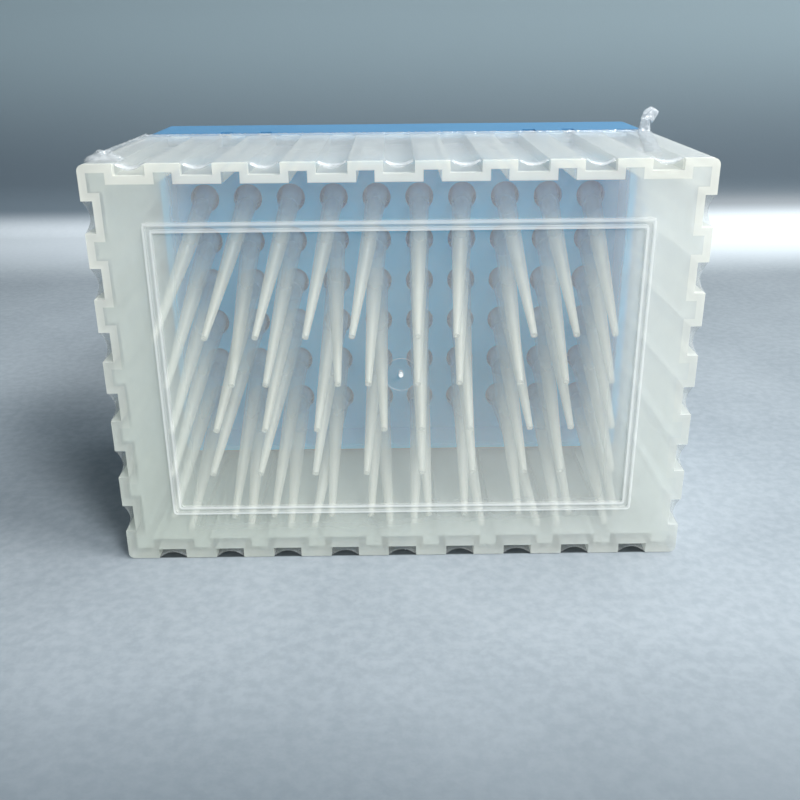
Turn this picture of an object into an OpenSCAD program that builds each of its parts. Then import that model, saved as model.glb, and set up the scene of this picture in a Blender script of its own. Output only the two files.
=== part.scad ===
// Rack box of tapered dispensing tips, lying on one long side.
// The box is a translucent tray with a battlemented wall, a rack with 60 loose
// tips, a shallow hinged lid and a sleeve of clear shrink film round the tray.
// Frame: +X to the right, +Y from the closed bottom plate to the lid, +Z up.
// The origin is at the middle of the footprint, on the resting surface.

/* [Tray] */
// Width of the tray along X
tray_w = 113; // [100:1:130]
// Height of the tray along Z as it lies
tray_h = 79.6; // [72:0.2:90]
// Depth of the tray along Y, from its bottom plate to its rim
tray_d = 46; // [40:1:60]
// Thickness of the battlemented wall
wall_t = 1.5; // [1.2:0.1:2]
// Thickness of the bottom plate
plate_t = 1.6; // [1.2:0.1:2.5]
// Depth of each battlement notch
notch_d = 2.05; // [1.5:0.05:2.2]
// Number of notches on a long side
long_notches = 9; // [7:1:11]
// Number of notches on a short side
short_notches = 6; // [4:1:8]
// Share of one battlement pitch that the notch takes
notch_share = 0.478; // [0.4:0.01:0.5]
// Thickness of the frame that closes the wall at the rim
rim_t = 2; // [1.5:0.1:3]

/* [Bottom plate] */
// Distance from the tray's edge to the foot ring
ring_inset = 10.3; // [8:0.1:14]
// Width of the foot ring
ring_w = 1.8; // [1.2:0.1:3]
// How far the foot ring stands out of the plate
ring_h = 0.5; // [0.3:0.1:1]
// Diameter of the moulding gate's dish
gate_dish_diameter = 6.5; // [4:0.5:10]

/* [Rack and tips] */
// Spacing of the tips both ways
tip_pitch = 10; // [9.8:0.1:10.2]
// Length of a tip below the shoulder that rests on the rack
tip_below = 51.5; // [49:0.5:51.5]
// Length of the hub above the shoulder
tip_hub = 8; // [6:0.5:8]
// Outer diameter of the hub
hub_diameter = 7.4; // [7:0.1:7.6]
// Outer diameter of the tip just below the shoulder
tip_top_diameter = 5.1; // [4.6:0.1:5.2]
// Outer diameter of the tip at its open end
tip_end_diameter = 1.3; // [1:0.1:1.5]
// Diameter of the holes in the rack
hole_diameter = 6.6; // [6.4:0.1:6.8]
// How far the tips droop from the Y axis as the box lies on its side
droop = 24.6; // [15:0.1:24.7]
// The lowest row droops less, because it lies on the tray's wall
low_row_droop = 11.9; // [8:0.1:12.1]
// Share of the tips' own sideways leans that is applied
lean_share = 1; // [0:0.1:1]

/* [Lid] */
// Depth of the lid along Y
lid_d = 20.5; // [20.5:0.5:24]
// Thickness of the lid's walls and panel
lid_t = 1.5; // [1.2:0.1:2]
// How far the grip pads on the lid's short sides stand out
grip_proud = 1.2; // [0.6:0.1:1.5]
// Radius of the hinge knuckles
knuckle_r = 2.2; // [2:0.1:2.4]
// Radius of the hinge studs
stud_r = 0.85; // [0.7:0.05:1]
// Distance of each hinge from the middle of the box
hinge_x = 34; // [25:1:42]

/* [Film] */
// Thickness of the shrink film
film_t = 0.12; // [0.1:0.01:0.15]
// Height of the twisted film tail over the tray
tail_h = 6.4; // [4:0.2:8]

/* [Hidden] */
COLUMNS = 10;
ROWS = 6;
$fn = 48;

skin = 0.2;                    // room for the film between the tray and the surface
fit = 0.3;                     // clearance between parts that don't touch
stud_fit = 0.05;               // radial clearance of a hinge stud in its bore
corner_r = 1.2;                // outer corner radius of the tray
lid_corner_r = 2.5;            // outer corner radius of the lid
tray_z = skin;                 // lowest point of the tray
mid_z = tray_z + tray_h / 2;   // middle of the tray's height
lid_w = tray_w + 2 * skin;
lid_h = tray_h + 2 * skin;
lid_y = tray_d + 0.4;          // front edge of the lid's skirt
lid_end = lid_y + lid_d;       // outer face of the lid's panel
front_y = -(lid_end - ring_h) / 2;   // the plate's place in the frame; modules count Y from it

long_pitch = tray_w / (long_notches + 1 - notch_share);
short_pitch = tray_h / (short_notches + 1 - notch_share);

deck_t = 2;                                    // thickness of the rack's deck
deck_top = tray_d + 8;                         // face of the deck that the tips rest on
rack_w = tray_w - 2 * notch_d - 2 * wall_t - 2 * fit;   // the rack's skirt fits in the tray
rack_h = rack_w + tray_h - tray_w - 2;                  // and clears the hinges
rack_flange = 1.6;                             // how far the rack's end flanges overhang its skirt
rack_skirt_t = 1.2;
rack_skirt_d = 4;                              // how far the skirt reaches into the tray

hinge_y = lid_y + knuckle_r;
hinge_z = tray_z + tray_h - knuckle_r;
knuckle_w = 6;                                 // width of a lid knuckle
lug_w = 2.4;                                   // width of each tray lug beside it
lug_gap = 0.2;

// how each loose tip leans sideways in its hole, in degrees, from the top row down
leans = [
    [-5, -3, -3, -4, -5, 1], [-5, 1, -4, -6, -1, 4], [-5, -3, -4, -6, -3, 2], [-5, 3, -3, -4, 0, -4],
    [-6, -2, 2, -3, -2, 3], [-2, -2, -1, -1, 1, -3], [-5, -4, -1, 0, -2, 2], [2, -1, 2, 1, 0, 4],
    [0, -2, 0, -2, 1, -3], [-3, -3, -2, -1, 1, -3]];

// puts a part that is drawn with the plate at Y = 0 in its place in the frame
module in_frame() translate([0, front_y, 0]) children();

function tip_column_name(c) = str("tip_column_", c < 10 ? "0" : "", c);
function column_x(c) = (c - (COLUMNS - 1) / 2) * tip_pitch;
function row_z(r) = mid_z + ((ROWS - 1) / 2 - r) * tip_pitch;
function row_droop(r) = r == ROWS - 1 ? low_row_droop : droop;

// a tip's axis passes through the middle of its hole, and its shoulder rests on the
// deck by its edge, so the shoulder stands off by the tip's whole tilt
function lean(c, r) = lean_share * leans[c][r];
function tilt(c, r) = acos(cos(row_droop(r)) * cos(lean(c, r)));
function shoulder_off(c, r) =
    (deck_t / 2 + hub_diameter / 2 * sin(tilt(c, r)) + 0.05) / cos(tilt(c, r));

// the whole outline, moved in by inset, with each notch following the wall's face
module battlement_outline(inset) {
    w = tray_w - 2 * inset;
    h = tray_h - 2 * inset;
    difference() {
        translate([-w / 2, -h / 2]) rounded_rect(w, h, max(corner_r - inset, 0.3));
        for (side = [-1, 1]) {
            for (i = [0:long_notches - 1])
                translate([notch_middle(i, tray_w, long_pitch), side * (tray_h / 2)])
                    square([notch_share * long_pitch + 2 * inset, 2 * (notch_d + inset)], center = true);
            for (i = [0:short_notches - 1])
                translate([side * (tray_w / 2), notch_middle(i, tray_h, short_pitch)])
                    square([2 * (notch_d + inset), notch_share * short_pitch + 2 * inset], center = true);
        }
    }
}

function notch_middle(i, length, pitch) =
    -length / 2 + (1 - notch_share + i) * pitch + notch_share * pitch / 2;

module rounded_rect(w, h, r) {
    translate([r, 0]) square([w - 2 * r, h]);
    translate([0, r]) square([w, h - 2 * r]);
    for (x = [r, w - r], y = [r, h - r]) translate([x, y]) circle(r);
}

// a centred rounded rectangle
module panel(w, h, r) translate([-w / 2, -h / 2]) rounded_rect(w, h, r);

// stands an XY outline up in the XZ plane and gives it a depth along +Y from y
module along_y(y, depth) translate([0, y + depth, mid_z]) rotate([90, 0, 0])
    linear_extrude(depth) children();

module foot_ring() {
    w = tray_w - 2 * ring_inset;
    h = tray_h - 2 * ring_inset;
    line = ring_w / 3;
    for (step = [0, 2 * line])
        along_y(-ring_h, ring_h + 0.01) difference() {
            panel(w - 2 * step, h - 2 * step, 1);
            panel(w - 2 * step - 2 * line, h - 2 * step - 2 * line, 0.6);
        }
}

// an axis along X through the hinge, for whatever turns on it
module on_hinge(x, width) translate([x - width / 2, hinge_y, hinge_z]) rotate([0, 90, 0]) children();

module hinge_lugs() {
    for (side = [-1, 1], end = [-1, 1]) {
        x = side * hinge_x + end * (knuckle_w / 2 + lug_gap + lug_w / 2);
        difference() {
            union() {
                on_hinge(x, lug_w) cylinder(r = knuckle_r, h = lug_w);
                translate([x - lug_w / 2, tray_d - 0.01, hinge_z - knuckle_r])
                    cube([lug_w, hinge_y - tray_d + 0.01, 2 * knuckle_r]);
            }
            on_hinge(x, lug_w + 2) cylinder(r = stud_r + stud_fit, h = lug_w + 2);
        }
    }
}

module tray() in_frame() color([0.78, 0.81, 0.78, 0.6]) {
    difference() {
        union() {
            along_y(0, plate_t) battlement_outline(0);
            along_y(plate_t - 0.01, tray_d - plate_t - rim_t + 0.02) difference() {
                battlement_outline(0);
                battlement_outline(wall_t);
            }
            along_y(tray_d - rim_t, rim_t) difference() {
                panel(tray_w, tray_h, corner_r);
                panel(rack_w + 2 * fit, rack_h + 2 * fit, 1);
            }
            foot_ring();
            hinge_lugs();
        }
        translate([0, -1, mid_z]) rotate([-90, 0, 0]) cylinder(d = gate_dish_diameter, h = 1.25);
    }
    translate([0, 0.5, mid_z]) rotate([90, 0, 0]) cylinder(d = 0.9, h = 0.8);
}

module rack() in_frame() color([0.25, 0.5, 0.72]) difference() {
    union() {
        along_y(deck_top - deck_t, deck_t) panel(rack_w, rack_h, 1.5);
        along_y(tray_d, deck_top - deck_t - tray_d + 0.01) difference() {
            panel(rack_w, rack_h, 1.5);
            panel(rack_w - 2 * rack_skirt_t, rack_h - 2 * rack_skirt_t, 1);
        }
        along_y(tray_d - rack_skirt_d, rack_skirt_d + 0.01) difference() {
            panel(rack_w, rack_h, 1.5);
            panel(rack_w - 2 * rack_skirt_t, rack_h - 2 * rack_skirt_t, 1);
        }
        along_y(tray_d, 1.2) difference() {
            panel(rack_w + 2 * rack_flange, rack_h - 8, 2);
            panel(rack_w - 2 * rack_skirt_t, rack_h - 2 * rack_skirt_t, 1);
        }
    }
    for (c = [0:COLUMNS - 1], r = [0:ROWS - 1])
        translate([column_x(c), deck_top - deck_t - 1, row_z(r)]) rotate([-90, 0, 0])
            cylinder(d = hole_diameter, h = deck_t + 2);
}

// one tip about its own Z axis: the shoulder is at 0, the open end below, the hub above
module tip() {
    bore_end = tip_end_diameter / 2 - 0.35;
    bore_top = tip_top_diameter / 2 - 0.5;
    hub_in = hub_diameter / 2 - 0.75;
    rotate_extrude() polygon([
        [bore_end, -tip_below], [tip_end_diameter / 2, -tip_below],
        [tip_top_diameter / 2, -0.4], [hub_diameter / 2 - 0.2, 0], [hub_diameter / 2 - 0.2, tip_hub - 1.2],
        [hub_diameter / 2, tip_hub - 1.2], [hub_diameter / 2, tip_hub], [hub_in, tip_hub],
        [bore_top, 0.6], [bore_end + 0.35, -tip_below * 0.55]]);
}

module tip_column(c) in_frame() color([0.93, 0.93, 0.9, 0.8])
    for (r = [0:ROWS - 1])
        translate([column_x(c), deck_top - deck_t / 2, row_z(r)])
            rotate([row_droop(r) - 90, 0, lean(c, r)]) translate([0, 0, shoulder_off(c, r)]) tip();

// keeps the lid clear of the rim as it turns: its hinge edge is a quarter round
module hinge_edge_relief() difference() {
    translate([-lid_w, lid_y - 5, hinge_z])
        cube([2 * lid_w, 5 + knuckle_r, lid_h]);
    on_hinge(0, 2 * lid_w + 2) cylinder(r = knuckle_r, h = 2 * lid_w + 2);
}

module lid() in_frame() color([0.2, 0.5, 0.75]) {
    difference() {
        union() {
            along_y(lid_y, lid_d) panel(lid_w, lid_h, lid_corner_r);
            for (side = [-1, 1]) translate([side * lid_w / 2, lid_y + 3, mid_z - 16])
                for (rib = [0:7]) translate([-grip_proud, 0, rib * 4])
                    cube([2 * grip_proud, lid_d - 6, 2.4]);
        }
        along_y(lid_y - 1, lid_d - lid_t + 1)
            panel(lid_w - 2 * lid_t, lid_h - 2 * lid_t, lid_corner_r - lid_t);
        hinge_edge_relief();
        for (side = [-1, 1])
            translate([side * hinge_x - knuckle_w / 2 - lug_w - 2 * lug_gap, lid_y - 1, hinge_z - knuckle_r - 1])
                cube([knuckle_w + 2 * lug_w + 4 * lug_gap, 2 * knuckle_r + 1.5, 2 * knuckle_r + 3]);
    }
    for (side = [-1, 1]) {
        on_hinge(side * hinge_x, knuckle_w) cylinder(r = knuckle_r, h = knuckle_w);
        on_hinge(side * hinge_x, knuckle_w + 2 * lug_gap + 2 * lug_w)
            cylinder(r = stud_r, h = knuckle_w + 2 * lug_gap + 2 * lug_w);
        translate([side * hinge_x - knuckle_w / 2, hinge_y, hinge_z + knuckle_r - lid_t])
            cube([knuckle_w, knuckle_r + 2, lid_t + skin]);
    }
}

// closed sleeve that bridges the notches, a hair outside the tray
module film_sleeve() in_frame() color([0.9, 0.93, 0.95, 0.4]) {
    gap = 0.05;
    outer = gap + film_t;
    along_y(0.4, tray_d - 0.8) difference() {
        panel(tray_w + 2 * outer, tray_h + 2 * outer, corner_r + outer);
        panel(tray_w + 2 * gap, tray_h + 2 * gap, corner_r + gap);
    }
}

// gathered weld of the film along the rim's upper edge
module film_seam() in_frame() color([0.95, 0.96, 0.97, 0.8])
    translate([-tray_w / 2 + 2, tray_d - 2.2, tray_z + tray_h + 0.2]) cube([tray_w - 5, 1.2, 0.7]);

// twisted end of the film at the rear right corner
module film_tail() in_frame() color([0.95, 0.96, 0.97, 0.8])
    translate([tray_w / 2 - 2.2, tray_d - 1.6, tray_z + tray_h + 0.2]) {
        cylinder(r = 0.8, h = tail_h - 1);
        translate([1, 0, tail_h - 1]) rotate([0, 60, 0]) translate([0, 0, -1.4]) cylinder(r = 0.9, h = 3);
    }

// puckered corner of the film at the front left
module film_tuft() in_frame() color([0.95, 0.96, 0.97, 0.8])
    translate([-tray_w / 2 + 1, 1.5, tray_z + tray_h + 0.2]) cube([6.5, 4, 2.4]);

tray();
rack();
lid();
film_sleeve();
film_seam();
film_tail();
film_tuft();
for (c = [0:COLUMNS - 1])
    tip_column(c);
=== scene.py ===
import math

import bpy
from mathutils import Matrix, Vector, noise


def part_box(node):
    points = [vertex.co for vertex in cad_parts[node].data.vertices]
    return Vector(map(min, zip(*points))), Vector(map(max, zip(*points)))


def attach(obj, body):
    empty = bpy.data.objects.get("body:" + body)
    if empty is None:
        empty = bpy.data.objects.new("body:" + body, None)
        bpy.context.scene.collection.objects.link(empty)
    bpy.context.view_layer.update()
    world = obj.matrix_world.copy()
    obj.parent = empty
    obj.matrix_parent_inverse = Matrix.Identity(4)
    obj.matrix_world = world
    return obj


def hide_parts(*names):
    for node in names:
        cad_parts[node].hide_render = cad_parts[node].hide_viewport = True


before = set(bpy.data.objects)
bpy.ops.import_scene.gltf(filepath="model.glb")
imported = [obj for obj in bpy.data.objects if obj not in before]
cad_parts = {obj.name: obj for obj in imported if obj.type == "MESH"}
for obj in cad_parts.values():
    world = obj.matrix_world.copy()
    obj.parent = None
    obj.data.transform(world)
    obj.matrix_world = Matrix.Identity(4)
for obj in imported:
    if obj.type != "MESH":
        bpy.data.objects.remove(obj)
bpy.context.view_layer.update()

MM = 0.001

# ---------------------------------------------------------------- sizes from the frame
tray_low, tray_high = (Vector(corner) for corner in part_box("tray"))
film_low, film_high = (Vector(corner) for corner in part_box("film_sleeve"))
tail_low, tail_high = (Vector(corner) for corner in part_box("film_tail"))
tuft_low, tuft_high = (Vector(corner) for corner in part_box("film_tuft"))
seam_low = Vector(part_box("film_seam")[0])

HALF_W = (tray_high.x - tray_low.x) / 2
HALF_H = (tray_high.z - tray_low.z) / 2
MID_Z = (tray_high.z + tray_low.z) / 2
RING_PROUD = 0.5 * MM               # how far the foot ring stands out from the bottom plate
FRONT_Y = tray_low.y + RING_PROUD   # face of the bottom plate
BEND_Y = FRONT_Y + 0.32             # where the floor sweeps up into the wall behind

# ---------------------------------------------------------------- the tray, as it is moulded
WALL = 1.5 * MM
PLATE = 1.6 * MM
NOTCH_DEPTH = 2.05 * MM
NOTCH_SHARE = 0.478                 # part of each pitch that is notch, not crest
LONG_NOTCHES = 9
SHORT_NOTCHES = 6
LONG_PITCH = 2 * HALF_W / (LONG_NOTCHES + 1 - NOTCH_SHARE)
SHORT_PITCH = 2 * HALF_H / (SHORT_NOTCHES + 1 - NOTCH_SHARE)
RING_INSET = 10.3 * MM
RING_WIDTH = 1.8 * MM
GATE_DISH = 6.5 * MM
GATE_NUB_RADIUS = 0.45 * MM

# ---------------------------------------------------------------- the film
FILM_GAP = 0.06 * MM
SLEEVE_THICKNESS = 0.03 * MM
WELD_THICKNESS = 0.05 * MM


# ---------------------------------------------------------------- camera
def add_camera():
    """A near view of the bottom plate from above, all but square to it."""
    data = bpy.data.cameras.new("camera")
    data.sensor_width = 36
    data.lens = 41.3
    data.clip_start = 0.01
    camera = bpy.data.objects.new("camera", data)
    bpy.context.scene.collection.objects.link(camera)
    distance_from_plate = 164.4 * MM
    height_over_middle = 61.1 * MM
    camera.location = (-1.0 * MM, FRONT_Y - distance_from_plate, MID_Z + height_over_middle)
    camera.rotation_euler = [math.radians(angle) for angle in (68.04, 0.52, -0.48)]
    bpy.context.scene.camera = camera


# ---------------------------------------------------------------- node helper
class Nodes:
    """Builds a material's node tree with short calls."""

    SOFT_EDGE = 0.12 * MM

    def __init__(self, name):
        self.material = bpy.data.materials.new(name)
        self.material.use_nodes = True
        self.tree = self.material.node_tree
        self.tree.nodes.clear()
        self.output = self.tree.nodes.new("ShaderNodeOutputMaterial")

    def put(self, socket, value):
        if isinstance(value, bpy.types.NodeSocket):
            self.tree.links.new(value, socket)
        elif value is not None:
            socket.default_value = value

    def node(self, kind, **inputs):
        made = self.tree.nodes.new(kind)
        for name, value in inputs.items():
            self.put(made.inputs[name.replace("_", " ")], value)
        return made

    def math(self, operation, first, second=None, third=None):
        made = self.tree.nodes.new("ShaderNodeMath")
        made.operation = operation
        for socket, value in zip(made.inputs, (first, second, third)):
            self.put(socket, value)
        return made.outputs[0]

    def add(self, first, second):
        return self.math("ADD", first, second)

    def subtract(self, first, second):
        return self.math("SUBTRACT", first, second)

    def multiply(self, first, second):
        return self.math("MULTIPLY", first, second)

    def larger(self, first, second):
        return self.math("MAXIMUM", first, second)

    def smaller(self, first, second):
        return self.math("MINIMUM", first, second)

    def magnitude(self, value):
        return self.math("ABSOLUTE", value)

    def ramp(self, value, low, high, to_low=0.0, to_high=1.0):
        """to_low up to the low value, to_high from the high value, smooth between them."""
        made = self.tree.nodes.new("ShaderNodeMapRange")
        made.interpolation_type = "SMOOTHSTEP"
        for name, number in (("Value", value), ("From Min", low), ("From Max", high),
                             ("To Min", to_low), ("To Max", to_high)):
            self.put(made.inputs[name], number)
        return made.outputs[0]

    def below(self, value, limit):
        """1 under the limit and 0 over it, with a slightly soft edge."""
        return self.ramp(value, limit - self.SOFT_EDGE, limit + self.SOFT_EDGE, 1.0, 0.0)

    def blend_colour(self, factor, first, second):
        made = self.tree.nodes.new("ShaderNodeMix")
        made.data_type = "RGBA"
        self.put(made.inputs[0], factor)
        self.put(made.inputs[6], first)
        self.put(made.inputs[7], second)
        return made.outputs[2]

    def coords(self):
        return self.tree.nodes.new("ShaderNodeTexCoord").outputs["Object"]

    def split(self, coords):
        parts = self.node("ShaderNodeSeparateXYZ", Vector=coords).outputs
        return parts[0], parts[1], parts[2]

    def stretch(self, coords, scale):
        return self.node("ShaderNodeMapping", Vector=coords, Scale=scale).outputs[0]

    def noise(self, coords, scale, detail, roughness=0.5):
        made = self.node("ShaderNodeTexNoise", Vector=coords, Scale=scale, Detail=detail,
                         Roughness=roughness)
        return made.outputs[0]

    def bump(self, height, strength, distance):
        made = self.node("ShaderNodeBump", Height=height, Strength=strength, Distance=distance)
        return made.outputs[0]

    def mix(self, factor, first, second):
        made = self.tree.nodes.new("ShaderNodeMixShader")
        self.put(made.inputs[0], factor)
        self.put(made.inputs[1], first)
        self.put(made.inputs[2], second)
        return made.outputs[0]

    def finish(self, shader):
        self.tree.links.new(shader, self.output.inputs["Surface"])
        return self.material


def translucent_plastic(nodes, colour, opacity, normal, gloss_roughness, back_light, clear_tint,
                        gloss=0.9):
    """Milky plastic: part of the light goes straight through, part is scattered."""
    most_gloss = 0.3
    scattered = nodes.node("ShaderNodeBsdfDiffuse", Color=colour, Normal=normal).outputs[0]
    through = nodes.node("ShaderNodeBsdfTranslucent", Color=colour, Normal=normal).outputs[0]
    milky = nodes.mix(back_light, scattered, through)
    clear = nodes.node("ShaderNodeBsdfTransparent", Color=clear_tint).outputs[0]
    body = nodes.mix(opacity, clear, milky)
    shine = nodes.node("ShaderNodeBsdfGlossy", Roughness=gloss_roughness, Normal=normal).outputs[0]
    fresnel = nodes.node("ShaderNodeFresnel", IOR=1.45, Normal=normal).outputs[0]
    share = nodes.smaller(nodes.multiply(fresnel, gloss), most_gloss)
    return nodes.finish(nodes.mix(share, body, shine))


# ---------------------------------------------------------------- tray material
def wall_band(nodes, inward, along, pitch):
    """The wall's thickness seen end on, stepping in round each notch."""
    to_notch = nodes.magnitude(nodes.math("WRAP", along, pitch / 2, -pitch / 2))
    beside_notch = nodes.below(to_notch, NOTCH_SHARE * pitch / 2 + WALL)
    stepped = nodes.multiply(beside_notch, nodes.below(inward, NOTCH_DEPTH + WALL))
    return nodes.larger(nodes.below(inward, WALL), stepped)


def foot_ring(nodes, from_edge):
    """The raised ring: two bright lines with a fainter strip between them."""
    off_middle = nodes.magnitude(nodes.subtract(from_edge, RING_INSET + RING_WIDTH / 2))
    lines = nodes.ramp(off_middle, RING_WIDTH / 8, RING_WIDTH / 3, 0.6, 1.0)
    return nodes.multiply(nodes.below(off_middle, RING_WIDTH / 2), lines)


def gate_mark(nodes, x, up):
    """Where the plastic entered the mould: a bright nub, and the faint edge of its dish."""
    line_width, line_strength = 0.2 * MM, 0.45
    from_gate = nodes.math("SQRT", nodes.add(nodes.multiply(x, x), nodes.multiply(up, up)))
    off_dish_edge = nodes.magnitude(nodes.subtract(from_gate, GATE_DISH / 2))
    dish = nodes.multiply(nodes.below(off_dish_edge, line_width), line_strength)
    return nodes.below(from_gate, GATE_NUB_RADIUS), dish


def tray_haze(nodes, cloud, flow, up, from_short, on_plate):
    """How milky the thin plastic is: more beside the end walls and towards the lower edge."""
    thin_haze, wall_haze, edge_haze, low_haze = 0.085, 0.24, 0.18, 0.10
    cloudiness, streakiness = 0.08, 0.05
    beside_wall = nodes.ramp(from_short, 11 * MM, 22 * MM, edge_haze, 0.0)
    low_half = nodes.ramp(up, -34 * MM, 4 * MM, low_haze, 0.0)
    lower_edge = nodes.ramp(up, -37 * MM, -24 * MM, edge_haze, 0.0)
    haze = nodes.add(thin_haze, nodes.multiply(cloud, cloudiness))
    haze = nodes.add(haze, nodes.larger(beside_wall, nodes.larger(low_half, lower_edge)))
    haze = nodes.add(haze, nodes.multiply(flow, streakiness))
    return nodes.larger(haze, nodes.multiply(nodes.subtract(1.0, on_plate), wall_haze))


def tray_material():
    """Natural polypropylene: hazy where it is thin, cream where the wall is seen end on; painted shade
    greys it towards the left end and the lower edge and fades the cream band downwards.
    """
    shaded_grey_green, pale = (0.72, 0.77, 0.71, 1), (0.92, 0.94, 0.93, 1)
    cream, white = (0.95, 0.94, 0.86, 1), (0.96, 0.97, 0.96, 1)
    mark_opacity, nub_opacity, wall_opacity, more_on_plate = 0.46, 0.85, 0.30, 0.26
    nodes = Nodes("natural_polypropylene")
    coords = nodes.coords()
    x, y, z = nodes.split(coords)
    up = nodes.subtract(z, MID_Z)
    from_long = nodes.subtract(HALF_H, nodes.magnitude(up))
    from_short = nodes.subtract(HALF_W, nodes.magnitude(x))
    on_plate = nodes.below(y, FRONT_Y + PLATE)

    band = nodes.larger(wall_band(nodes, from_long, x, LONG_PITCH),
                        wall_band(nodes, from_short, nodes.add(up, SHORT_PITCH / 2), SHORT_PITCH))
    # painted shade: the end-on wall band fades out towards the lower edge, which lies in shade
    band_painted_shade_downwards = nodes.ramp(up, -HALF_H - 4 * MM, HALF_H, 0.12, 1.0)
    band = nodes.multiply(band, band_painted_shade_downwards)
    nub, dish = gate_mark(nodes, x, up)
    nub = nodes.multiply(nub, on_plate)
    ring = foot_ring(nodes, nodes.smaller(from_long, from_short))
    marks = nodes.larger(nodes.multiply(nodes.larger(ring, dish), on_plate), nub)

    flow = nodes.noise(nodes.stretch(coords, (260, 30, 160)), 1.0, 3.0)
    cloud = nodes.noise(coords, 38.0, 3.0)
    grain = nodes.noise(coords, 2600.0, 0.0)
    opacity = tray_haze(nodes, cloud, flow, up, from_short, on_plate)
    opacity = nodes.larger(opacity, nodes.multiply(marks, mark_opacity))
    band_opacity = nodes.add(wall_opacity, nodes.multiply(on_plate, more_on_plate))
    opacity = nodes.larger(opacity, nodes.multiply(band, band_opacity))
    opacity = nodes.larger(opacity, nodes.multiply(nub, nub_opacity))

    # painted shade: the thin plastic turns greyer-green towards the left end and downwards, away from the
    # light; the cloud adds a random tone
    painted_shade_and_cloud_tone = nodes.add(nodes.ramp(x, -HALF_W, HALF_W, 0.0, 0.5),
                        nodes.ramp(up, -HALF_H, HALF_H, 0.0, 0.4))
    painted_shade_and_cloud_tone = nodes.add(painted_shade_and_cloud_tone, nodes.multiply(cloud, 0.1))
    colour = nodes.blend_colour(painted_shade_and_cloud_tone, shaded_grey_green, pale)
    colour = nodes.blend_colour(band, colour, cream)
    colour = nodes.blend_colour(marks, colour, white)
    normal = nodes.bump(nodes.add(grain, nodes.multiply(flow, 2.0)), 0.25, 0.05 * MM)
    return translucent_plastic(nodes, colour, opacity, normal, gloss_roughness=0.3, back_light=0.35,
                               clear_tint=(0.985, 0.992, 0.985, 1), gloss=0.6)


# ---------------------------------------------------------------- other materials
def coloured_plastic(name, dark, light, roughness, opacity):
    """Dyed polypropylene with moulding flow, fine grain and a little light through it."""
    nodes = Nodes(name)
    coords = nodes.coords()
    cloud = nodes.noise(coords, 45.0, 3.0)
    grain = nodes.noise(coords, 2200.0, 2.0)
    colour = nodes.blend_colour(cloud, dark, light)
    normal = nodes.bump(grain, 0.3, 0.05 * MM)
    return translucent_plastic(nodes, colour, opacity, normal, gloss_roughness=roughness,
                               back_light=0.2, clear_tint=light)


def tip_material():
    """Thin tapered plastic: milky at the open end, clearer along the tube, with a painted bluish cast
    towards the rack.
    """
    warm, warm_light, blue = (0.98, 0.95, 0.88, 1), (0.99, 0.98, 0.95, 1), (0.50, 0.74, 0.93, 1)
    open_end, clearing, rim, hub = 0.42, 0.33, 0.17, 0.42    # opacities
    nodes = Nodes("tip_polypropylene")
    coords = nodes.coords()
    y = nodes.split(coords)[1]
    cloud = nodes.noise(coords, 90.0, 1.0)
    facing = nodes.node("ShaderNodeLayerWeight", Blend=0.35).outputs["Facing"]
    depth = nodes.ramp(y, FRONT_Y + 6 * MM, FRONT_Y + 52 * MM)
    opacity = nodes.subtract(open_end, nodes.multiply(depth, clearing))
    opacity = nodes.add(opacity, nodes.multiply(facing, rim))
    opacity = nodes.add(opacity, nodes.multiply(cloud, 0.05))
    in_hub = nodes.ramp(y, FRONT_Y + 46 * MM, FRONT_Y + 53 * MM, 0.0, hub)
    opacity = nodes.add(opacity, in_hub)
    # painted light: near the rack the tips turn bluish, standing in for light coloured by the rack around
    # them
    painted_rack_tint_share = nodes.ramp(y, FRONT_Y + 36 * MM, FRONT_Y + 50 * MM)
    colour = nodes.blend_colour(cloud, warm, warm_light)
    colour = nodes.blend_colour(painted_rack_tint_share, colour, blue)
    normal = nodes.bump(nodes.noise(coords, 1500.0, 0.0), 0.15, 0.03 * MM)
    return translucent_plastic(nodes, colour, opacity, normal, gloss_roughness=0.2, back_light=0.5,
                               clear_tint=(0.985, 0.99, 0.99, 1))


def film_material(name, whiteness, crinkle):
    """Clear shrink film: nearly invisible flat on, bright where it creases."""
    grey_white, white = (0.86, 0.90, 0.93, 1), (0.96, 0.97, 0.98, 1)
    nodes = Nodes(name)
    coords = nodes.coords()
    folds = nodes.noise(nodes.stretch(coords, (1.0, 0.45, 1.0)), 420.0, 5.0, 0.62)
    cloud = nodes.noise(coords, 70.0, 3.0)
    normal = nodes.bump(folds, crinkle, 0.35 * MM)
    creased = nodes.ramp(folds, 0.56, 0.72)
    opacity = nodes.add(whiteness, nodes.multiply(creased, 0.10))
    opacity = nodes.add(opacity, nodes.multiply(cloud, 0.05))
    colour = nodes.blend_colour(cloud, grey_white, white)
    return translucent_plastic(nodes, colour, opacity, normal, gloss_roughness=0.07, back_light=0.45,
                               clear_tint=(0.99, 0.995, 1.0, 1), gloss=1.0)


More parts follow.
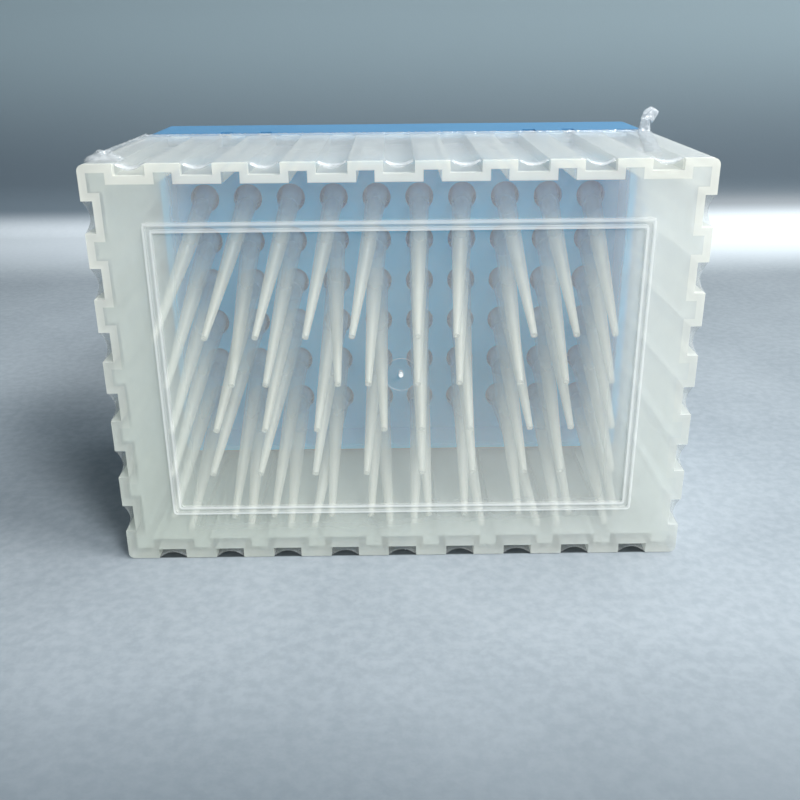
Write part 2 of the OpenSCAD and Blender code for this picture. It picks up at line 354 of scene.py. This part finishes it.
def floor_colour_and_painted_light(nodes, coords, x, y):
    """Grey paper, finely mottled, with painted light: darker towards the camera, away from a painted pool
    of light in front of the box, and a painted contact shadow in the gap under the plate.
    """
    grey, light_grey = (0.160, 0.186, 0.208, 1), (0.216, 0.244, 0.268, 1)
    shaded_near_camera, in_shade = (0.062, 0.080, 0.096, 1), (0.022, 0.028, 0.032, 1)
    mottled = nodes.noise(coords, 22.0, 6.0, 0.6)
    paper = nodes.noise(coords, 420.0, 3.0, 0.6)
    tone = nodes.add(nodes.ramp(mottled, 0.35, 0.65, 0.0, 0.4),
                     nodes.ramp(paper, 0.3, 0.7, 0.0, 0.6))
    colour = nodes.blend_colour(tone, grey, light_grey)
    # painted shade: the paper darkens towards the camera, leaving a painted pool of light in front of the
    # box
    painted_light_to_box = nodes.ramp(y, FRONT_Y - 0.094, FRONT_Y - 0.02)
    colour = nodes.blend_colour(painted_light_to_box, shaded_near_camera, colour)
    # painted contact shadow: the floor is darkened just behind the plate's lower edge, under the box
    behind_edge = nodes.multiply(nodes.ramp(y, FRONT_Y + 0.1 * MM, FRONT_Y + 0.6 * MM),
                                 nodes.ramp(y, FRONT_Y + 4 * MM, FRONT_Y + 9 * MM, 1.0, 0.0))
    from_end = nodes.subtract(HALF_W, nodes.magnitude(x))
    painted_contact_shadow = nodes.multiply(behind_edge, nodes.ramp(from_end, 0.0, 2 * MM))
    return nodes.blend_colour(painted_contact_shadow, colour, in_shade)


def stage_material():
    """The floor, with a painted highlight band before the bend, brighter to the right, and a wall with
    painted shade at its foot that lightens upwards.
    """
    bright, shaded_wall_foot, wall_top = (0.72, 0.78, 0.83, 1), (0.092, 0.122, 0.148, 1), (0.230, 0.300, 0.335, 1)
    nodes = Nodes("pale_floor")
    coords = nodes.coords()
    x, y, z = nodes.split(coords)
    colour = floor_colour_and_painted_light(nodes, coords, x, y)
    # painted highlight: a bright band across the floor before the bend, stronger to the right where the
    # lamps are
    painted_highlight_before_bend = nodes.multiply(nodes.ramp(y, BEND_Y - 0.10, BEND_Y - 0.01),
                             nodes.ramp(x, -0.3, 0.3, 0.4, 1.0))
    colour = nodes.blend_colour(painted_highlight_before_bend, colour, bright)
    # painted shade: the wall is dark at its foot and lightens upwards, as the light falls on it
    painted_shade_up_bend = nodes.ramp(z, 0.0015, 0.012)
    colour = nodes.blend_colour(painted_shade_up_bend, colour, shaded_wall_foot)
    painted_light_up_wall = nodes.ramp(z, 0.025, 0.11)
    colour = nodes.blend_colour(painted_light_up_wall, colour, wall_top)
    normal = nodes.bump(nodes.noise(coords, 900.0, 2.0), 0.15, 0.2 * MM)
    shader = nodes.node("ShaderNodeBsdfPrincipled", Base_Color=colour, Roughness=0.48, Normal=normal)
    return nodes.finish(shader.outputs[0])


# ---------------------------------------------------------------- mesh helpers
def mesh_object(name, vertices, faces, material):
    mesh = bpy.data.meshes.new(name)
    mesh.from_pydata([tuple(vertex) for vertex in vertices], [], faces)
    mesh.validate()
    mesh.update()
    for polygon in mesh.polygons:
        polygon.use_smooth = True
    mesh.materials.append(material)
    made = bpy.data.objects.new(name, mesh)
    bpy.context.scene.collection.objects.link(made)
    return made


def grid_faces(rows, columns, closed=False):
    """Quads between rows of points; closed joins each row's last point to its first."""
    faces = []
    for row in range(rows - 1):
        for column in range(columns if closed else columns - 1):
            after = (column + 1) % columns
            low, high = row * columns, (row + 1) * columns
            faces.append((low + column, low + after, high + after, high + column))
    return faces


def thicken(piece, thickness):
    solid = piece.modifiers.new("thickness", "SOLIDIFY")
    solid.thickness = thickness
    solid.offset = 0
    with bpy.context.temp_override(object=piece, active_object=piece, selected_objects=[piece]):
        bpy.ops.object.modifier_apply(modifier=solid.name)


def ride_film(piece, *replaced):
    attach(piece, "box")
    if replaced:
        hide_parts(*replaced)


# ---------------------------------------------------------------- shrink film
def notch_dip(along, half_length, pitch, phase):
    """0 on a crest, 1 in the middle of a notch."""
    if abs(along) > half_length - (1 - NOTCH_SHARE) * pitch:
        return 0.0
    to_notch = abs((along + phase + pitch / 2) % pitch - pitch / 2)
    reach = NOTCH_SHARE * pitch / 2
    return max(0.0, 1 - (to_notch / reach) ** 2) if to_notch < reach else 0.0


def film_sag(dip, here):
    """How far the film sinks into a notch; it is drawn in most at the plate's edge."""
    everywhere, at_edge, uneven = 0.22 * MM, 1.05 * MM, 0.20 * MM
    fade = 3.2 * MM
    pull = math.exp(-(here.y - film_low.y) / fade)
    return dip * (everywhere + at_edge * pull + uneven * noise.noise(here * 90))


def sleeve_outline(step):
    """Points round the tray, each with its outward direction and how far it may dip."""
    points = []
    sides = [
        ((-HALF_W, HALF_H), (1, 0), 2 * HALF_W, (0, 1), LONG_PITCH, 0.0),
        ((HALF_W, HALF_H), (0, -1), 2 * HALF_H, (1, 0), SHORT_PITCH, SHORT_PITCH / 2),
        ((HALF_W, -HALF_H), (-1, 0), 2 * HALF_W, (0, -1), LONG_PITCH, 0.0),
        ((-HALF_W, -HALF_H), (0, 1), 2 * HALF_H, (-1, 0), SHORT_PITCH, SHORT_PITCH / 2),
    ]
    corner = 1.2 * MM
    for start, direction, length, outward, pitch, phase in sides:
        count = round((length - 2 * corner) / step)
        for index in range(count + 1):
            run = corner + (length - 2 * corner) * index / count
            along = run - length / 2
            place = (start[0] + direction[0] * run, start[1] + direction[1] * run)
            points.append((place, outward, notch_dip(along, length / 2, pitch, phase)))
    return points


def film_sleeve(material):
    """Tight film round the tray: flat on the crests, sagging into each notch."""
    outline = sleeve_outline(0.62 * MM)
    spans = 40
    depth = film_high.y - film_low.y
    stations = [film_low.y + depth * (index / spans) ** 1.5 for index in range(spans + 1)]
    vertices = []
    for y in stations:
        for (x, z), (out_x, out_z), dip in outline:
            here = Vector((x, y, z + MID_Z))
            ripple = noise.noise(here * 260) * 0.5 + 0.5
            offset = FILM_GAP / 2 + (0.04 + 0.05 * ripple) * MM - film_sag(dip, here)
            vertices.append((x + out_x * offset, y, here.z + out_z * offset))
    faces = grid_faces(len(stations), len(outline), closed=True)
    piece = mesh_object("film_sleeve_skin", vertices, faces, material)
    thicken(piece, SLEEVE_THICKNESS)
    ride_film(piece, "film_sleeve")


def crinkled_ribbon(name, path, width, height, material, seed, replaced=()):
    """A gathered weld along a path: a low wavering ridge of film."""
    across_count = 7
    least_rise = 0.02 * MM
    vertices = []
    for index, (point, side) in enumerate(path):
        for step in range(across_count):
            part = step / (across_count - 1) - 0.5
            key = Vector((index * 0.83, step * 0.7, seed))
            ridge = (1 - abs(2 * part)) * height * (0.55 + 0.45 * noise.noise(key))
            waver = noise.noise(key + Vector((9, 4, 0))) * 0.22 * width
            rise = Vector((0, 0, max(least_rise, ridge)))
            vertices.append(point + side * part * width + side * waver + rise)
    piece = mesh_object(name, vertices, grid_faces(len(path), across_count), material)
    thicken(piece, WELD_THICKNESS)
    ride_film(piece, *replaced)


def straight_path(start, end, step):
    span = end - start
    count = round(span.length / step)
    side = Vector((span.y, -span.x, 0)).normalized()
    return [(start + span * index / count, side) for index in range(count + 1)]


def film_seams(material):
    """The weld along the rear edge, its turn down the left end, and the pleat below the tail."""
    top = seam_low.z
    front_top = top - 0.02 * MM
    rear_left = Vector((-HALF_W + 1.5 * MM, seam_low.y + 0.6 * MM, top))
    rear_right = Vector((HALF_W - 3 * MM, seam_low.y + 0.6 * MM, top))
    crinkled_ribbon("film_seam_rear", straight_path(rear_left, rear_right, 0.3 * MM),
                    1.1 * MM, 0.6 * MM, material, 3.0, ["film_seam"])
    front_left = Vector((-HALF_W + 0.7 * MM, FRONT_Y + 4.5 * MM, front_top))
    crinkled_ribbon("film_seam_left", straight_path(rear_left, front_left, 0.3 * MM),
                    1.2 * MM, 0.9 * MM, material, 11.0)
    pleat_start = Vector((tail_low.x + 0.6 * MM, seam_low.y, top))
    pleat_end = Vector((46.5 * MM, FRONT_Y + 7 * MM, front_top))
    crinkled_ribbon("film_pleat", straight_path(pleat_start, pleat_end, 0.5 * MM),
                    3.0 * MM, 0.5 * MM, material, 23.0)


def film_puckers(material):
    """Small folds where the film is drawn into the top notches at the plate's edge; the whiter film they
    are given is partly crumple and partly a painted glint.
    """
    across_notch = 0.86 * NOTCH_SHARE * LONG_PITCH / 2
    top = MID_Z + HALF_H + FILM_GAP
    middle_notch = LONG_NOTCHES // 2
    half_count = 9
    for index in range(LONG_NOTCHES):
        middle = (index - middle_notch) * LONG_PITCH
        y = film_low.y + (1.3 + 0.3 * math.sin(5 * index)) * MM
        path = []
        for step in range(2 * half_count + 1):
            here = Vector((middle + (step / half_count - 1) * across_notch, y, top))
            dip = notch_dip(here.x, HALF_W, LONG_PITCH, 0.0)
            path.append((here - Vector((0, 0, film_sag(dip, here))), Vector((0, 1, 0))))
        crinkled_ribbon(f"film_pucker_{index + 1}", path, 2.6 * MM, 0.45 * MM, material, 31.0 + index)


def tail_girth(part, bend):
    """Radius along the tail against its own unit: a waist, a swollen head and a rounded end."""
    girth = 1.20 + 0.4 * (1 - part) ** 4 - 0.20 * math.sin(math.pi * part)
    girth += 0.70 * math.sin(0.75 * math.pi * bend)
    end_starts, least = 0.86, 0.02
    into_end = max(0.0, part - end_starts) / (1 - end_starts)
    return girth * math.sqrt(max(least, 1 - into_end ** 2))


def film_tail(material):
    """The film's twisted end: a creased stem that swells into a head and hooks over."""
    base = Vector((tail_low.x + 0.8 * MM, (tail_low.y + tail_high.y) / 2, tail_low.z))
    height = 0.55 * (tail_high.z - tail_low.z)
    reach = 0.85 * (tail_high.x - base.x)
    unit = 0.86 * MM
    most_bend = math.radians(125)
    bend_starts = 0.4
    turns, steps, around = 1.3, 60, 24
    vertices = []
    for step in range(steps):
        part = step / (steps - 1)
        bend = max(0.0, part - bend_starts) / (1 - bend_starts)
        angle = most_bend * bend
        rise = 0.62 * min(part / bend_starts, 1.0) + 0.24 * math.sin(angle)
        centre = base + Vector((reach * (1 - math.cos(angle)) / 1.57,
                                0.2 * MM * math.sin(8 * part),
                                height * rise))
        sideways = Vector((math.cos(angle), 0, -math.sin(angle)))
        for index in range(around):
            turn = 2 * math.pi * index / around
            fold = 0.16 * math.sin(5 * turn + 2 * math.pi * turns * part)
            key = Vector((math.cos(turn) * 1.6, math.sin(turn) * 1.6, part * 9))
            radius = unit * tail_girth(part, bend) * (1 + fold + 0.30 * noise.noise(key))
            vertices.append(centre + sideways * math.cos(turn) * radius
                            + Vector((0, math.sin(turn) * radius * 0.8, 0)))
    faces = grid_faces(steps, around, closed=True)
    faces.append(tuple(reversed(range(around))))
    faces.append(tuple(range((steps - 1) * around, steps * around)))
    piece = mesh_object("film_tail_twist", vertices, faces, material)
    ride_film(piece, "film_tail")


def film_tuft(material):
    """Puckered corner: film bunched into small upright folds."""
    columns, rows = 44, 26
    foot = tuft_low.z + 0.05 * MM
    size = tuft_high - tuft_low
    vertices = []
    for row in range(rows):
        for column in range(columns):
            u, v = column / (columns - 1), row / (rows - 1)
            window = math.sin(math.pi * u) ** 0.6 * math.sin(math.pi * v) ** 0.6
            folds = abs(math.sin(9 * u + 3 * v + 2 * noise.noise(Vector((3 * u, 3 * v, 5)))))
            bumps = noise.noise(Vector((7 * u, 6 * v, 2))) * 0.5 + 0.5
            height = window * (0.35 + 0.40 * folds + 0.35 * bumps) * (1 - 0.45 * u)
            vertices.append((tuft_low.x + size.x * u, tuft_low.y + size.y * v,
                             foot + size.z * min(0.97, height)))
    piece = mesh_object("film_tuft_pucker", vertices, grid_faces(rows, columns), material)
    thicken(piece, WELD_THICKNESS)
    ride_film(piece, "film_tuft")


# ---------------------------------------------------------------- stage and light
def add_stage(material):
    """A floor that sweeps up into a plain wall behind the object."""
    half_width, front, bend_radius, top = 2.5, -2.5, 0.025, 1.6
    bend_steps = 12
    profile = [(front, 0.0), (BEND_Y, 0.0)]
    for step in range(1, bend_steps + 1):
        angle = math.pi / 2 * step / bend_steps
        profile.append((BEND_Y + bend_radius * math.sin(angle), bend_radius * (1 - math.cos(angle))))
    profile.append((BEND_Y + bend_radius, top))
    vertices = [(x, y, z) for y, z in profile for x in (-half_width, half_width)]
    floor = mesh_object("floor", vertices, grid_faces(len(profile), 2), material)


def add_light(name, kind, location, target, power, colour):
    data = bpy.data.lights.new(name, kind)
    data.energy = power
    data.color = colour
    light = bpy.data.objects.new(name, data)
    light.location = location
    aim = Vector(target) - Vector(location)
    light.rotation_euler = aim.to_track_quat("-Z", "Y").to_euler()
    bpy.context.scene.collection.objects.link(light)
    return data


def add_area_light(name, location, target, size, power, colour):
    data = add_light(name, "AREA", location, target, power, colour)
    data.shape = "RECTANGLE"
    data.size, data.size_y = size


def add_spot(name, location, target, cone_degrees, power, colour):
    data = add_light(name, "SPOT", location, target, power, colour)
    data.spot_size = math.radians(cone_degrees)
    data.spot_blend = 1.0
    data.shadow_soft_size = 0.2


def add_lights():
    middle = (0, 0, 0.04)
    plate_foot = (0, FRONT_Y - 0.01, 0.03)
    add_area_light("key", (0.55, -0.20, 0.75), middle, (0.40, 0.40), 12.5, (1.0, 0.99, 0.96))
    add_area_light("top", (0.40, 0.25, 0.75), middle, (0.5, 0.35), 5.0, (0.93, 0.97, 1.0))
    add_spot("front", (0.42, -0.62, 0.62), plate_foot, 25, 98.0, (0.97, 0.99, 1.0))
    world = bpy.data.worlds.new("studio")
    world.use_nodes = True
    background = world.node_tree.nodes["Background"]
    background.inputs["Color"].default_value = (0.62, 0.70, 0.78, 1)
    background.inputs["Strength"].default_value = 0.40
    bpy.context.scene.world = world


# ---------------------------------------------------------------- build
def dress(node, material):
    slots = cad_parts[node].data.materials
    slots.clear()
    slots.append(material)


def dress_cad_nodes():
    dress("tray", tray_material())
    sky, light_sky = (0.02, 0.55, 0.98, 1), (0.04, 0.61, 1.0, 1)
    dress("rack", coloured_plastic("rack_polypropylene", sky, light_sky, roughness=0.4, opacity=0.92))
    steel, light_steel = (0.08, 0.29, 0.52, 1), (0.11, 0.34, 0.58, 1)
    dress("lid", coloured_plastic("lid_polypropylene", steel, light_steel, roughness=0.25, opacity=0.55))
    tips = tip_material()
    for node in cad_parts:
        if node.startswith("tip_column"):
            dress(node, tips)


def wrap_in_film():
    creased = film_material("creased_film", whiteness=0.07, crinkle=0.8)
    film_sleeve(film_material("shrink_film", whiteness=0.10, crinkle=0.35))
    film_seams(creased)
    # the drawn-in folds get whiter film than the sleeve: real crumple, plus a painted glint
    film_puckers(film_material("drawn_in_film_painted_glint", whiteness=0.24, crinkle=0.9))
    film_tail(film_material("twisted_film", whiteness=0.26, crinkle=0.9))
    film_tuft(creased)


def build():
    add_camera()
    dress_cad_nodes()
    wrap_in_film()
    add_stage(stage_material())
    add_lights()
    bpy.context.scene.view_settings.view_transform = "Standard"
    # a line of sight through a few hollow tips crosses more clear surfaces than the default allows
    bpy.context.scene.cycles.transparent_max_bounces = 24


build()
